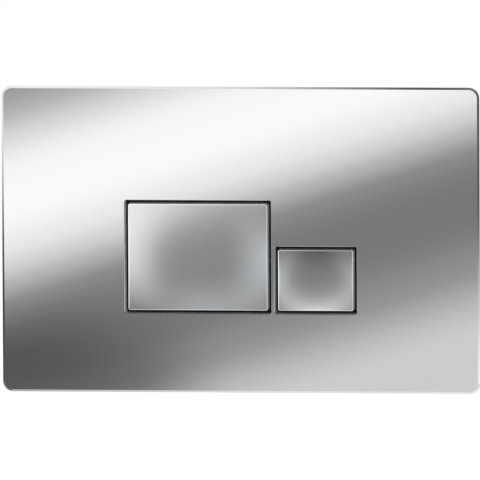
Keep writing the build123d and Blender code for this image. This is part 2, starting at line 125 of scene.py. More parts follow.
class Nodes:
    """A material's or the world's node tree, written as short calls."""

    def __init__(self, tree: bpy.types.NodeTree) -> None:
        """Takes a node tree and clears it."""
        self.tree = tree
        tree.nodes.clear()

    def add(self, kind: str, *values: object, **settings: object) -> bpy.types.Node:
        """Adds a node.

        Args:
            kind: Last part of Blender's class name of the node.
            values: Numbers or outputs for its inputs, in order; None leaves an input alone.
            settings: Properties of the node itself.

        Returns:
            The new node.
        """
        node = self.tree.nodes.new(f"ShaderNode{kind}")
        for name, value in settings.items():
            setattr(node, name, value)
        for socket, value in zip(node.inputs, values):
            if value is not None:
                self.feed(socket, value)
        return node

    def feed(self, socket: Socket, value: object) -> None:
        """Links an output to an input, or sets the input's own value.

        Args:
            socket: The input.
            value: Output or value for it.
        """
        if isinstance(value, Socket):
            self.tree.links.new(value, socket)
        else:
            socket.default_value = value

    def math(self, operation: str, *values: object) -> Socket:
        """Result of one of Blender's math operations."""
        return self.add("Math", *values, operation=operation).outputs[0]

    def product(self, *values: object) -> Socket:
        """Product of several numbers or outputs."""
        return functools.reduce(lambda first, second: self.math("MULTIPLY", first, second), values)

    def vary(self, pattern: Socket, middle: float, spread: float) -> Socket:
        """Value that a pattern from 0 to 1 spreads about a middle."""
        return self.math("MULTIPLY_ADD", pattern, spread, middle - spread / 2)

    def dim(self, mask: Socket, share: float) -> Socket:
        """Light that is left where a mask takes a share of it away."""
        return self.math("MULTIPLY_ADD", mask, -share, 1.0)

    def ease(self, value: Socket, start: float, full: float) -> Socket:
        """Smooth step of a value, from 0 at the start to 1 where it is full."""
        return self.add("MapRange", value, start, full, 0.0, 1.0, interpolation_type="SMOOTHSTEP").outputs[0]

    def blend(self, share: Socket, first: object, second: object) -> Socket:
        """Mix of two numbers or outputs by the second one's share."""
        return self.add("Mix", share, None, first, second, data_type="FLOAT").outputs[0]

    def grey(self, tone: object) -> Socket:
        """Grey of a tone."""
        return self.add("CombineColor", tone, tone, tone).outputs[0]

    def place(self) -> tuple[Socket, ...]:
        """Object coordinates as three outputs."""
        return tuple(self.add("SeparateXYZ", self.add("TexCoord").outputs["Object"]).outputs)

    def noise(self, scale: float, detail: float, stretch: Point = (1, 1, 1)) -> Socket:
        """Noise on Object coordinates, by features a metre, octaves and stretch."""
        place = self.add("Mapping", self.add("TexCoord").outputs["Object"], None, None, stretch).outputs[0]
        return self.add("TexNoise", place, None, scale, detail).outputs[0]

    def ramp(self, value: Socket, stops: Sequence[Pair]) -> Socket:
        """Adds a ramp of greys.

        Args:
            value: Output that is looked up, from 0 to 1.
            stops: Place and tone of each stop, in linear light.

        Returns:
            The ramp's colour.
        """
        node = self.add("ValToRGB", value)
        node.color_ramp.interpolation = "CARDINAL"
        elements = node.color_ramp.elements
        while len(elements) < len(stops):
            elements.new(0.5)
        for element, (spot, tone) in zip(elements, stops):
            element.position = spot
            element.color = (tone, tone, tone, 1.0)
        return node.outputs[0]

    def bump(self, height: Socket, strength: float, relief: float) -> Socket:
        """Normal that a height bumps, at a strength up to 1 and a relief in metres."""
        return self.add("Bump", strength, relief, None, height).outputs[0]

    def surface(self, **inputs: object) -> None:
        """Ends a material in one Principled shader.

        Args:
            inputs: Numbers or outputs by the names of the shader's inputs.
        """
        shader = self.add("BsdfPrincipled")
        for name, value in inputs.items():
            self.feed(shader.inputs[name.replace("_", " ")], value)
        self.end(shader)

    def mixed(self, share: Socket, first: bpy.types.Node, second: bpy.types.Node) -> bpy.types.Node:
        """Mix of two shaders by the second one's share."""
        return self.add("MixShader", share, first.outputs[0], second.outputs[0])

    def end(self, shader: bpy.types.Node) -> None:
        """Ends a material in a shader."""
        self.add("OutputMaterial", shader.outputs[0])


def new_material(name: str) -> tuple[bpy.types.Material, Nodes]:
    """Makes an empty material.

    Args:
        name: Name of the material.

    Returns:
        The material and its nodes.
    """
    material = bpy.data.materials.new(name)
    material.use_nodes = True
    return material, Nodes(material.node_tree)


def wear(piece: Piece, material: bpy.types.Material) -> None:
    """Gives a piece its one material."""
    piece.data.materials.clear()
    piece.data.materials.append(material)


@dataclass(frozen=True)
class PolishedChrome:
    """Mirror plating on the plate's face and rim, dull inside the windows and behind."""

    tone: float = CHROME
    dull_tone: float = 0.8
    dull_metal: float = 0.15
    polish: float = 0.03
    polish_spread: float = 0.012
    dull: float = 0.42
    dull_spread: float = 0.2
    clouds: Pair = (160.0, 4.0)
    face_depth: float = -7.74 * MM
    rim: Pair = (123.4 * MM, 78.4 * MM)
    corner: float = 199.7 * MM

    def material(self) -> bpy.types.Material:
        """Builds the finish: its place tells a polished face from a dull one.

        Returns:
            The material.
        """
        material, nodes = new_material("polished_chrome")
        x, y, z = nodes.place()
        wide, tall = nodes.math("ABSOLUTE", x), nodes.math("ABSOLUTE", z)
        polished = nodes.math("LESS_THAN", y, self.face_depth)
        for spot, limit in zip((wide, tall, nodes.math("ADD", wide, tall)), (*self.rim, self.corner)):
            polished = nodes.math("MAXIMUM", polished, nodes.math("GREATER_THAN", spot, limit))
        cloud = nodes.noise(*self.clouds)
        bright = nodes.vary(cloud, self.polish, self.polish_spread)
        worn = nodes.vary(cloud, self.dull, self.dull_spread)
        nodes.surface(
            Base_Color=nodes.grey(nodes.blend(polished, self.dull_tone, self.tone)),
            Metallic=nodes.blend(polished, self.dull_metal, 1.0),
            Roughness=nodes.blend(polished, worn, bright),
        )
        return material


@dataclass(frozen=True)
class SatinChrome:
    """Fine blasted plating on a button's bowl, with a polished edge and dull sides."""

    low: Vector
    high: Vector
    edge: float
    tone: float = CHROME
    satin_tone: float = 0.74
    dull_tone: float = 0.8
    dull_metal: float = 0.15
    polish: float = 0.06
    satin: float = 0.24
    satin_spread: float = 0.03
    dull: float = 0.42
    side: float = 0.02 * MM
    clouds: Pair = (90.0, 3.0)
    grain: Pair = (4200.0, 2.0)
    bump: Pair = (0.15, 0.004 * MM)

    def material(self) -> bpy.types.Material:
        """Builds the finish from the distance to the cap's sides.

        Returns:
            The material.
        """
        material, nodes = new_material("satin_chrome")
        x, _, z = nodes.place()
        middle, half = (self.low + self.high) / 2, (self.high - self.low) / 2
        across = nodes.math("ABSOLUTE", nodes.math("SUBTRACT", x, middle.x))
        up = nodes.math("ABSOLUTE", nodes.math("SUBTRACT", z, middle.z))
        insets = nodes.math("SUBTRACT", half.x, across), nodes.math("SUBTRACT", half.z, up)
        inset = nodes.math("MINIMUM", *insets)
        side = nodes.math("LESS_THAN", inset, self.side)
        face = nodes.math("GREATER_THAN", inset, self.edge)
        grain = nodes.product(nodes.noise(*self.grain), face)
        satin = nodes.vary(nodes.noise(*self.clouds), self.satin, self.satin_spread)
        rough = nodes.blend(face, self.polish, satin)
        tone = nodes.blend(face, self.tone, self.satin_tone)
        nodes.surface(
            Base_Color=nodes.grey(nodes.blend(side, tone, self.dull_tone)),
            Metallic=nodes.blend(side, 1.0, self.dull_metal),
            Roughness=nodes.blend(side, rough, self.dull),
            Normal=nodes.bump(grain, *self.bump),
        )
        return material


@dataclass(frozen=True)
class MouldedPlastic:
    """Injection moulded plastic with a fine eroded grain and faint flow clouds."""

    name: str
    colour: Point
    rough: float
    rough_spread: float = 0.16
    shades: Pair = (0.9, 1.08)
    clouds: Pair = (70.0, 4.0)
    grain: Pair = (2600.0, 3.0)
    bump: Pair = (0.35, 0.012 * MM)

    def material(self) -> bpy.types.Material:
        """Builds the finish.

        Returns:
            The material.
        """
        material, nodes = new_material(self.name)
        grain = nodes.noise(*self.grain)
        mix = nodes.add("Mix", nodes.noise(*self.clouds), data_type="RGBA")
        for socket, shade in zip(mix.inputs[6:8], self.shades):
            socket.default_value = (*(shade * part for part in self.colour), 1.0)
        nodes.surface(
            Base_Color=mix.outputs[2],
            Roughness=nodes.vary(grain, self.rough, self.rough_spread),
            Normal=nodes.bump(grain, *self.bump),
        )
        return material


@dataclass(frozen=True)
class BrightSteel:
    """Drawn or rolled steel with fine streaks."""

    name: str
    tone: float = 0.62
    tone_spread: float = 0.12
    rough: float = 0.3
    rough_spread: float = 0.16
    streaks: Pair = (2400.0, 3.0)
    stretch: Point = (1.0, 0.06, 1.0)
    bump: Pair = (0.2, 0.006 * MM)

    def material(self) -> bpy.types.Material:
        """Builds the finish.

        Returns:
            The material.
        """
        material, nodes = new_material(self.name)
        streak = nodes.noise(*self.streaks, self.stretch)
        nodes.surface(
            Base_Color=nodes.grey(nodes.vary(streak, self.tone, self.tone_spread)),
            Metallic=1.0,
            Roughness=nodes.vary(streak, self.rough, self.rough_spread),
            Normal=nodes.bump(streak, *self.bump),
        )
        return material


FINISHES = {
    Slot.POLISHED: PolishedChrome(),
    Slot.BLACK: MouldedPlastic("black_plastic", (0.007, 0.007, 0.007), 0.6),
    Slot.DARK: MouldedPlastic("dark_plastic", (0.045, 0.045, 0.048), 0.5),
    Slot.LIGHT: MouldedPlastic("light_plastic", (0.70, 0.71, 0.70), 0.45),
    Slot.ROD: MouldedPlastic("rod_plastic", (0.72, 0.71, 0.66), 0.32),
    Slot.BOLT: MouldedPlastic("bolt_plastic", (0.26, 0.27, 0.29), 0.42),
    Slot.STEEL: BrightSteel("bright_steel"),
}


class Wardrobe:
    """Makes each slot's material once and hands it out."""

    def __init__(self) -> None:
        """Builds the materials of all slots that have one finish."""
        self.materials = {slot: finish.material() for slot, finish in FINISHES.items()}

    def dress(self, piece: Piece, slot: Slot) -> None:
        """Gives a new piece a slot's material."""
        wear(piece, self.materials[slot])

    def dress_frame(self) -> None:
        """Gives every CAD node the material of its slot; the caps' own comes with their pieces."""
        for part in frame["record"]["subparts"]:
            slot = Slot(part["material_slot"])
            wear(frame["nodes"][part["node"]], self.materials.get(slot, self.materials[Slot.POLISHED]))


class Bench:
    """Modelling by hand: each call works on the one selected object."""

    @staticmethod
    def clear() -> None:
        """Leaves edit mode and deselects everything."""
        if bpy.context.object and bpy.context.object.mode == "EDIT":
            Bench.done()
        bpy.ops.object.select_all(action="DESELECT")

    @staticmethod
    def keep(name: str) -> Piece:
        """Names the new primitive and puts its place into its mesh.

        Args:
            name: Name of the piece.

        Returns:
            The piece.
        """
        piece = bpy.context.object
        piece.name = name
        piece.data.name = name
        bpy.ops.object.transform_apply(location=True, rotation=True, scale=True)
        return piece

    @staticmethod
    def hold(piece: Piece) -> None:
        """Makes a piece the only selected one.

        Args:
            piece: The piece.
        """
        Bench.clear()
        piece.select_set(True)
        bpy.context.view_layer.objects.active = piece

    @staticmethod
    def plane(name: str, middle: Point, size: Pair, turn: Point = (0, 0, 0)) -> Piece:
        """Adds a flat rectangle.

        Args:
            name: Name of the piece.
            middle: Its middle.
            size: Width and height before it is turned.
            turn: Angles about X, Y and Z.

        Returns:
            The piece.
        """
        Bench.clear()
        bpy.ops.mesh.primitive_plane_add(size=1.0, location=middle, rotation=turn)
        bpy.context.object.scale = (*size, 1.0)
        return Bench.keep(name)

    @staticmethod
    def box(name: str, low: Point, high: Point) -> Piece:
        """Adds a box between two corners.

        Args:
            name: Name of the piece.
            low: Lower corner.
            high: Upper corner.

        Returns:
            The piece.
        """
        Bench.clear()
        middle = (Vector(low) + Vector(high)) / 2
        bpy.ops.mesh.primitive_cube_add(size=1.0, location=middle)
        bpy.context.object.scale = Vector(high) - Vector(low)
        return Bench.keep(name)

    @staticmethod
    def lathe(name: str, sides: int, outline: Sequence[Pair], turn: float = 0.0) -> Piece:
        """Turns a solid about the Y axis, ring by ring.

        Args:
            name: Name of the piece.
            sides: Corners of each ring.
            outline: Radius and Y of each ring, from end to end.
            turn: Angle of the rings about Y.

        Returns:
            The piece, closed at both ends.
        """
        radius, y = outline[0]
        Bench.clear()
        end = {"vertices": sides, "radius": radius, "fill_type": "NGON"}
        bpy.ops.mesh.primitive_circle_add(location=(0, y, 0), rotation=(math.pi / 2, turn, 0), **end)
        piece = Bench.keep(name)
        Bench.edit("FACE")
        bpy.ops.mesh.select_all(action="SELECT")
        for wider, further in outline[1:]:
            bpy.ops.mesh.extrude_region_move()
            ratio = wider / radius
            bpy.ops.transform.resize(value=(ratio, 1.0, ratio), center_override=(0, y, 0))
            bpy.ops.transform.translate(value=(0.0, further - y, 0.0))
            radius, y = wider, further
        Bench.outward()
        return piece

    @staticmethod
    def edit(mode: str = "VERT") -> None:
        """Goes into edit mode with nothing selected.

        Args:
            mode: Blender's select mode.
        """
        bpy.ops.object.mode_set(mode="EDIT")
        bpy.ops.mesh.select_mode(type=mode)
        bpy.ops.mesh.select_all(action="DESELECT")

    @staticmethod
    def done() -> None:
        """Goes back to object mode."""
        bpy.ops.object.mode_set(mode="OBJECT")

    @staticmethod
    def outward() -> None:
        """Turns all faces of the mesh in edit mode outwards and goes back to object mode."""
        bpy.ops.mesh.select_all(action="SELECT")
        bpy.ops.mesh.normals_make_consistent(inside=False)
        Bench.done()

    @staticmethod
    def pick(piece: Piece, test: Test, mode: str = "VERT") -> None:
        """Selects vertices by their place; leaves the piece in edit mode.

        Args:
            piece: Piece in object mode.
            test: Tells whether a place is wanted.
            mode: Select mode afterwards, such as EDGE for the edges between them.
        """
        Bench.hold(piece)
        Bench.edit("VERT")
        Bench.done()
        for vertex in piece.data.vertices:
            vertex.select = test(vertex.co)
        bpy.ops.object.mode_set(mode="EDIT")
        bpy.ops.mesh.select_mode(type=mode)

    @staticmethod
    def pick_end(piece: Piece, y: float, reach: float, mode: str = "VERT") -> None:
        """Selects one end of a wound piece.

        Args:
            piece: Piece in object mode.
            y: Middle of that end.
            reach: How far the end's vertices lie from there along Y at most.
            mode: Select mode afterwards.
        """
        Bench.pick(piece, lambda spot: abs(spot.y - y) < reach and abs(spot.z) < TINY and spot.x > 0, mode)

    @staticmethod
    def grow(middle: Point, width: float, height: float, shift: float) -> None:
        """Extrudes the selected loop, stretches it across Y and shifts it along Y.

        Args:
            middle: Centre of the stretch.
            width: Factor along X.
            height: Factor along Z.
            shift: Distance along Y.
        """
        bpy.ops.mesh.extrude_edges_move()
        bpy.ops.transform.resize(value=(width, 1.0, height), center_override=middle)
        bpy.ops.transform.translate(value=(0.0, shift, 0.0))

    @staticmethod
    def smooth(piece: Piece, degrees: float) -> None:
        """Shades a piece smooth, with edges sharper than an angle kept."""
        Bench.hold(piece)
        bpy.ops.object.shade_smooth_by_angle(angle=math.radians(degrees))

    @staticmethod
    def apply(piece: Piece, kind: str, **settings: object) -> None:
        """Adds a modifier and applies it.

        Args:
            piece: Piece in object mode.
            kind: Blender's name of the modifier.
            settings: Properties of the modifier.
        """
        modifier = piece.modifiers.new(kind.lower(), kind)
        for name, value in settings.items():
            setattr(modifier, name, value)
        bpy.context.view_layer.objects.active = piece
        bpy.ops.object.modifier_apply(modifier=modifier.name)

    @staticmethod
    def wind(piece: Piece, pitch: float, turns: int, steps: int, smooth: bool) -> None:
        """Winds a flat outline about the Y axis.

        Args:
            piece: The outline.
            pitch: Rise along Y in each turn.
            turns: Number of turns.
            steps: Steps in each turn.
            smooth: Whether its faces are shaded smooth.
        """
        around = {"axis": "Y", "angle": math.tau, "steps": steps, "render_steps": steps}
        Bench.apply(piece, "SCREW", screw_offset=pitch, iterations=turns, use_smooth_shade=smooth, **around)

    @staticmethod
    def cut(piece: Piece, tool: Piece, keep_common: bool = False) -> None:
        """Cuts a piece by a tool, which is used up.

        Args:
            piece: Piece to cut.
            tool: Solid that cuts it.
            keep_common: Keeps what both share, rather than taking the tool's room away.
        """
        operation = "INTERSECT" if keep_common else "DIFFERENCE"
        Bench.apply(piece, "BOOLEAN", object=tool, operation=operation, solver="EXACT")
        bpy.data.objects.remove(tool)

    @staticmethod
    def join(first: Piece, *others: Piece) -> Piece:
        """Joins pieces into the first one.

        Args:
            first: Piece that stays.
            others: Pieces that it takes in.

        Returns:
            The first piece.
        """
        Bench.hold(first)
        for other in others:
            other.select_set(True)
        bpy.ops.object.join()
        return first

    @staticmethod
    def copy(piece: Piece, name: str, shift: Point) -> Piece:
        """Copies a piece with a mesh of its own, and moves that mesh.

        Args:
            piece: Piece to copy.
            name: Name of the copy.
            shift: How far the mesh moves.

        Returns:
            The copy.
        """
        Bench.hold(piece)
        bpy.ops.object.duplicate(linked=False)
        bpy.ops.transform.translate(value=shift)
        return Bench.keep(name)

    @staticmethod
    def set_copies(pattern: Piece, mark: str, nodes: dict[str, str]) -> list[Piece]:
        """Copies a piece that was made about the Y axis onto CAD nodes, which the copies replace.

        Args:
            pattern: Piece to copy, which is used up.
            mark: Last part of the copies' names.
            nodes: Each node's name, and the body that its copy rides on.

        Returns:
            The copies.
        """
        copies = []
        for node, body in nodes.items():
            low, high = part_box(node)
            copy = Bench.copy(pattern, f"{node}_{mark}", ((low.x + high.x) / 2, 0.0, (low.z + high.z) / 2))
            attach(copy, body)
            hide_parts(node)
            copies.append(copy)
        bpy.data.objects.remove(pattern)
        return copies

    @staticmethod
    def soften(piece: Piece, width: float) -> None:
        """Eases all sharp edges in two steps."""
        settings = {"width": width, "segments": 2, "limit_method": "ANGLE"}
        Bench.apply(piece, "BEVEL", angle_limit=SHARP, **settings)


@dataclass
class Thread:
    """Screw thread: a ridge wound round a core about the Y axis.

    The ridge's foot and its sunk ends lie below the crest by shares of the thread's depth, and half
    its width is a share of the pitch.
    """

    radius: float
    pitch: float
    start: float
    end: float
    depth: float
    steps: int = 20
    foot: float = 1.25
    sink: float = 1.6
    width: float = 0.45

    def build(self) -> Piece:
        """Winds a three cornered ridge and sinks its two ends.

        Returns:
            The ridge.
        """
        turns = int((self.end - self.start) / self.pitch) - 1
        low = self.radius - self.foot * self.depth
        # A triangle stands one and a half times its radius high.
        tall = self.foot * self.depth / 1.5
        Bench.clear()
        section = {"vertices": 3, "radius": tall, "fill_type": "NOTHING"}
        bpy.ops.mesh.primitive_circle_add(rotation=(0, 0, -math.pi / 2), **section)
        ridge = Bench.keep("ridge")
        Bench.edit()
        bpy.ops.mesh.select_all(action="SELECT")
        flatter = self.width * self.pitch / (tall * math.cos(math.pi / 6))
        bpy.ops.transform.resize(value=(1.0, flatter, 1.0))
        place = (low + tall / 2, self.start + self.pitch / 2, 0.0)
        bpy.ops.transform.translate(value=place)
        Bench.done()
        Bench.wind(ridge, self.pitch, turns, self.steps, smooth=False)
        self.close(ridge, place[1])
        self.close(ridge, place[1] + turns * self.pitch)
        Bench.hold(ridge)
        Bench.edit()
        Bench.outward()
        return ridge

    def close(self, ridge: Piece, y: float) -> None:
        """Sinks one end of the ridge into the core and fills it.

        Args:
            ridge: The ridge.
            y: Middle of that end.
        """
        Bench.pick_end(ridge, y, self.pitch / 2)
        ratio = (self.radius - self.sink * self.depth) / self.radius
        bpy.ops.transform.resize(value=(ratio, 1.0, ratio), center_override=(0, y, 0))
        bpy.ops.mesh.edge_face_add()
        Bench.done()


@dataclass
class ButtonCap:
    """Push button's cap: a shallow bowl with a bright edge, an open back and clip ledges."""

    button: Button
    depth: float
    press: float = 36 / 16
    levels: int = 5
    edge: float = 0.35 * MM
    land: float = 0.2 * MM
    facet: Pair = (0.06 * MM, 0.225 * MM)
    corner: float = 0.5 * MM
    corner_steps: int = 4
    wall: float = 1.8 * MM
    face: float = 2.0 * MM
    ledge: Point = (12.0 * MM, 1.0 * MM, 0.9 * MM)
    ledge_depth: float = 2.5 * MM
    ledge_bite: float = 0.2 * MM
    ledge_ease: float = 0.15 * MM
    crease: float = 20.0

    def build(self) -> Piece:
        """Models the cap from a plane whose middle is pressed in, further than subdivision leaves it.

        Returns:
            The cap.
        """
        low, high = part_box(self.button.node("cap"))
        inset = self.edge + self.land
        middle, size = Vector(((low.x + high.x) / 2, low.y, (low.z + high.z) / 2)), high - low
        bowl = (size.x - 2 * inset, size.z - 2 * inset)
        cap = Bench.plane(self.button.node("cap_shell"), middle, bowl, ACROSS_Y)
        Bench.edit()
        bpy.ops.mesh.select_all(action="SELECT")
        bpy.ops.mesh.subdivide(number_cuts=1)
        Bench.done()
        Bench.pick(cap, lambda spot: (spot - middle).length < MM)
        bpy.ops.transform.translate(value=(0.0, self.depth * self.press, 0.0))
        Bench.done()
        levels = {"levels": self.levels, "render_levels": self.levels}
        Bench.apply(cap, "SUBSURF", boundary_smooth="PRESERVE_CORNERS", **levels)
        self.skirt(cap, middle, size)
        self.round_corners(cap, middle, size)
        Bench.join(cap, *self.ledges(middle, size))
        Bench.smooth(cap, self.crease)
        wear(cap, SatinChrome(low, high, inset).material())
        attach(cap, self.button.body)
        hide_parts(self.button.node("cap"))
        return cap

    def skirt(self, cap: Piece, middle: Vector, size: Vector) -> None:
        """Carries the bowl's rim out, round the edge, back and into the pocket.

        Args:
            cap: The bowl.
            middle: Middle of the cap's face.
            size: Size of the cap.
        """
        steps = (
            (self.edge, 0.0),
            (self.facet[0], self.facet[1]),
            (0.0, self.edge - self.facet[1]),
            (0.0, size.y - self.edge),
            (self.wall, 0.0),
            (self.wall, self.depth + self.face - size.y),
        )
        Bench.hold(cap)
        Bench.edit("EDGE")
        bpy.ops.mesh.select_all(action="SELECT")
        bpy.ops.mesh.region_to_loop()
        inset = self.edge + self.land
        now = (size.x - 2 * inset, size.z - 2 * inset)
        for inset, shift in steps:
            then = (size.x - 2 * inset, size.z - 2 * inset)
            Bench.grow(middle, then[0] / now[0], then[1] / now[1], shift)
            now = then
        bpy.ops.mesh.edge_face_add()
        Bench.outward()

    def round_corners(self, cap: Piece, middle: Vector, size: Vector) -> None:
        """Rounds the cap's four corners from the bright edge to the back.

        Args:
            cap: The cap.
            middle: Middle of the cap's face.
            size: Size of the cap.
        """
        near = self.edge + self.land / 2
        wide, tall = size.x / 2 - near, size.z / 2 - near
        Bench.pick(cap, lambda spot: abs(spot.x - middle.x) > wide and abs(spot.z - middle.z) > tall, "EDGE")
        bpy.ops.mesh.bevel(offset=self.corner, segments=self.corner_steps, affect="EDGES", clamp_overlap=True)
        Bench.done()

    def ledges(self, middle: Vector, size: Vector) -> list[Piece]:
        """Two small ledges on the pocket's walls, with eased edges, for the slider's clips.

        Args:
            middle: Middle of the cap's face.
            size: Size of the cap.

        Returns:
            The lower and the upper ledge.
        """
        pieces = []
        half = self.ledge[0] / 2
        front = middle.y + size.y - self.ledge_depth
        for side in (-1, 1):
            wall = middle.z + side * (size.z / 2 - self.wall)
            near, far = sorted((wall + side * self.ledge_bite, wall - side * self.ledge[2]))
            low = (middle.x - half, front, near)
            high = (middle.x + half, front + self.ledge[1], far)
            ledge = Bench.box("ledge", low, high)
            Bench.soften(ledge, self.ledge_ease)
            pieces.append(ledge)
        return pieces


@dataclass
class ReturnSpring:
    """Coil spring round a guide post, with closed flat ends."""

    wire: float = 0.5 * MM
    radius: float = 4.5 * MM
    active: int = 3
    closed: float = 0.7
    wire_sides: int = 10
    steps: int = 32
    end_reach: float = 1.2
    travel: float = 5.0 * MM
    crease: float = 60.0

    def build(self) -> list[Piece]:
        """Winds one spring and copies it onto all four posts.

        Returns:
            The springs.
        """
        low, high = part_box(Button.FULL.node("spring_left"))
        pattern = self.wind(low.y + self.wire, high.y - self.wire)
        joints = {button.node(f"spring_{side}"): button.joint for button in Button for side in SIDES}
        springs = Bench.set_copies(pattern, "coil", dict.fromkeys(joints, FIXED))
        for spring, (node, joint) in zip(springs, joints.items()):
            low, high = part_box(node)
            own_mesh(spring)
        return springs

    def wind(self, front: float, back: float) -> Piece:
        """Winds the spring about the Y axis.

        Args:
            front: Y of the front coil's wire.
            back: Y of the back coil's wire.

        Returns:
            The spring.
        """
        Bench.clear()
        place = (self.radius, front, 0.0)
        bpy.ops.mesh.primitive_circle_add(vertices=self.wire_sides, radius=self.wire, location=place)
        spring = Bench.keep("spring")
        Bench.wind(spring, (back - front) / self.active, self.active, self.steps, smooth=True)
        self.end_coil(spring, front, 1)
        self.end_coil(spring, back, -1)
        Bench.smooth(spring, self.crease)
        return spring

    def end_coil(self, spring: Piece, y: float, way: int) -> None:
        """Carries one end on as a flat, closed coil.

        Args:
            spring: The spring.
            y: Y of the end's wire.
            way: Sense of the turn.
        """
        Bench.pick_end(spring, y, self.end_reach * self.wire, "EDGE")
        bpy.ops.mesh.spin(
            steps=int(self.steps * self.closed),
            angle=way * math.tau * self.closed,
            center=(0, y, 0),
            axis=(0, 1, 0),
        )
        bpy.ops.mesh.edge_face_add()
        Bench.outward()


@dataclass
class PushRod:
    """Adjustable rod: threaded for most of its length, with a plain rounded tip.

    The run out is how many pitches before the neck the core ends, the shoulder is full and the
    thread ends. The tip's rounding is how far each ring lies inside the tip and before its end.
    """

    thread: float = 3.5 * MM
    pitch: float = 1.5 * MM
    depth: float = 0.45 * MM
    chamfer: float = 0.6 * MM
    run_out: Point = (2.0, 1.6, 1.5)
    shoulder: float = 0.3 * MM
    tip: float = 3.0 * MM
    tip_length: float = 27.0 * MM
    tip_round: tuple[Pair, ...] = (
        (0.0, 1.8 * MM),
        (0.35 * MM, 0.8 * MM),
        (1.1 * MM, 0.15 * MM),
        (1.8 * MM, 0.0),
    )
    sides: int = 32
    crease: float = 35.0

    def build(self) -> list[Piece]:
        """Turns one rod and copies it for both buttons.

        Returns:
            The rods.
        """
        low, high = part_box(Button.FULL.node("rod"))
        neck = high.y - self.tip_length
        core = self.thread - self.depth
        core_end, full, thread_end = (neck - share * self.pitch for share in self.run_out)
        outline = [
            (core - self.chamfer, low.y),
            (core, low.y + self.chamfer),
            (core, core_end),
            (self.thread, full),
            (self.thread, neck - self.shoulder),
            (self.thread - self.shoulder, neck),
            (self.tip, neck),
            *((self.tip - inset, high.y - short) for inset, short in self.tip_round),
        ]
        rod = Bench.lathe("rod", self.sides, outline)
        Bench.join(rod, Thread(self.thread, self.pitch, low.y, thread_end, self.depth).build())
        Bench.smooth(rod, self.crease)
        return Bench.set_copies(rod, "threaded", {button.node("rod"): button.body for button in Button})


@dataclass
class LockNut:
    """Hexagon nut that locks a rod: chamfered corners and a clear bore."""

    flats: float = 11.0 * MM
    bore: float = 3.6 * MM
    bore_ease: float = 0.4 * MM
    chamfer: float = 0.7 * MM
    chamfer_slope: float = 0.6
    skin: float = 0.02 * MM
    past: float = 0.1 * MM
    sides: tuple[int, int] = (48, 40)
    crease: float = 25.0

    def build(self) -> list[Piece]:
        """Shapes one nut and copies it onto both rods.

        Returns:
            The nuts.
        """
        low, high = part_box(Button.FULL.node("rod_nut"))
        corner = self.flats / math.sqrt(3)
        upright = high.z - low.z > high.x - low.x
        nut = Bench.lathe("nut", 6, [(corner, low.y), (corner, high.y)], 0.0 if upright else HALF_FLAT)
        reach = corner + self.skin
        rise = self.chamfer_slope * self.chamfer
        ring = [
            (reach - self.chamfer, low.y),
            (reach, low.y + rise),
            (reach, high.y - rise),
            (reach - self.chamfer, high.y),
        ]
        Bench.cut(nut, Bench.lathe("corner_tool", self.sides[0], ring), keep_common=True)
        mouth = self.bore + self.bore_ease
        bore = [
            (mouth, low.y - self.past),
            (self.bore, low.y + self.bore_ease),
            (self.bore, high.y - self.bore_ease),
            (mouth, high.y + self.past),
        ]
        Bench.cut(nut, Bench.lathe("bore_tool", self.sides[1], bore))
        Bench.smooth(nut, self.crease)
        return Bench.set_copies(nut, "hexagon", {button.node("rod_nut"): button.body for button in Button})


